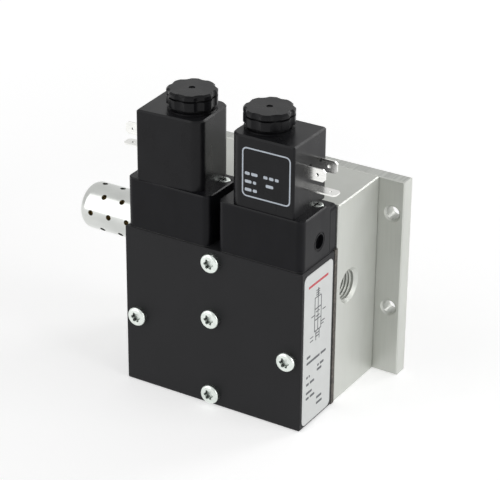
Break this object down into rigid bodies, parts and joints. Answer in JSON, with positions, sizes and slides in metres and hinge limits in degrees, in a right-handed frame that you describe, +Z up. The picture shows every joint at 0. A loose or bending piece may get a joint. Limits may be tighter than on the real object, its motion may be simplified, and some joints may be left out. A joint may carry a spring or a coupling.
{
  "type": "pneumatic safety valve",
  "caption": "Pneumatic press safety valve: twin solenoid pilots on a black valve block, aluminium port body, thick mounting plate and a perforated silencer.",
  "frame": {"origin": "middle of the four mounting holes, on the back face of the mounting plate", "axes": "+X to the right seen from the front, +Y to the back (out of the mounting face), +Z up"},
  "size_m": [0.1732, 0.0846, 0.158],
  "materials": {
    "anodised_block": "fine matte black finish on machined metal",
    "bare_aluminium": "cut and machined bare aluminium",
    "zinc_steel": "bright zinc plate",
    "bright_plate": "bright nickel plate",
    "stainless_steel": "turned",
    "brass_turned": "turned",
    "coil_moulding": "slightly glossy moulded thermoset",
    "nut_moulding": "moulded polymer",
    "pilot_moulding": "moulded polymer",
    "pilot_cover_gloss": "smooth black",
    "label_film": "white printed film",
    "seal_rubber": "moulded",
    "copper_winding": "enamelled copper wire",
    "tin_blade": "tin plated",
    "sintered_bronze": "porous sintered",
    "spring_steel": "spring wire"
  },
  "bodies": {
    "housing": {"mounting_plate": "bare_aluminium", "plate_screws": "zinc_steel", "port_body": "bare_aluminium", "gallery_plugs": "zinc_steel", "seal_plate": "pilot_moulding", "seal_rings": "seal_rubber", "valve_block": "anodised_block", "block_screws": "zinc_steel", "side_label": "label_film", "silencer_tube": "bright_plate", "silencer_neck": "bright_plate", "silencer_diffuser": "sintered_bronze", "pilot_screws": "zinc_steel", "bore_plug_left": "anodised_block", "valve_seats_left": "stainless_steel", "stem_guide_left": "brass_turned", "spool_spring_left": "spring_steel", "pilot_gasket_left": "seal_rubber", "pilot_housing_left": "pilot_moulding", "pilot_cover_left": "pilot_cover_gloss", "pilot_adapter_left": "pilot_moulding", "nozzle_left": "brass_turned", "guide_tube_left": "stainless_steel", "fixed_core_left": "stainless_steel", "armature_spring_left": "spring_steel", "coil_left": "coil_moulding", "coil_winding_left": "copper_winding", "coil_yoke_left": "zinc_steel", "coil_terminals_left": "tin_blade", "coil_nut_left": "nut_moulding", "nut_ring_left": "seal_rubber", "bore_plug_right": "anodised_block", "valve_seats_right": "stainless_steel", "stem_guide_right": "brass_turned", "spool_spring_right": "spring_steel", "pilot_gasket_right": "seal_rubber", "pilot_housing_right": "pilot_moulding", "pilot_cover_right": "pilot_cover_gloss", "pilot_adapter_right": "pilot_moulding", "nozzle_right": "brass_turned", "guide_tube_right": "stainless_steel", "fixed_core_right": "stainless_steel", "armature_spring_right": "spring_steel", "coil_right": "coil_moulding", "coil_winding_right": "copper_winding", "coil_yoke_right": "zinc_steel", "coil_terminals_right": "tin_blade", "coil_nut_right": "nut_moulding", "nut_ring_right": "seal_rubber"},
    "spool_left": {"valve_spool_left": "stainless_steel", "poppet_rubbers_left": "seal_rubber", "piston_seal_left": "seal_rubber"},
    "plunger_left": {"armature_left": "stainless_steel", "armature_seal_left": "seal_rubber"},
    "spool_right": {"valve_spool_right": "stainless_steel", "poppet_rubbers_right": "seal_rubber", "piston_seal_right": "seal_rubber"},
    "plunger_right": {"armature_right": "stainless_steel", "armature_seal_right": "seal_rubber"}
  },
  "joints": [
    {"name": "spool_travel_left", "type": "slide", "parent": "housing", "child": "spool_left", "axis": [0, 0, -1], "range_m": [0, 0.004], "stiffness_N_per_m": 4000, "springref_m": -0.003, "deforming": ["spool_spring_left"]},
    {"name": "plunger_lift_left", "type": "slide", "parent": "housing", "child": "plunger_left", "axis": [0, 0, 1], "range_m": [0, 0.0012], "stiffness_N_per_m": 1200, "springref_m": -0.003, "deforming": ["armature_spring_left"]},
    {"name": "spool_travel_right", "type": "slide", "parent": "housing", "child": "spool_right", "axis": [0, 0, -1], "range_m": [0, 0.004], "stiffness_N_per_m": 4000, "springref_m": -0.003, "deforming": ["spool_spring_right"]},
    {"name": "plunger_lift_right", "type": "slide", "parent": "housing", "child": "plunger_right", "axis": [0, 0, 1], "range_m": [0, 0.0012], "stiffness_N_per_m": 1200, "springref_m": -0.003, "deforming": ["armature_spring_right"]}
  ]
}
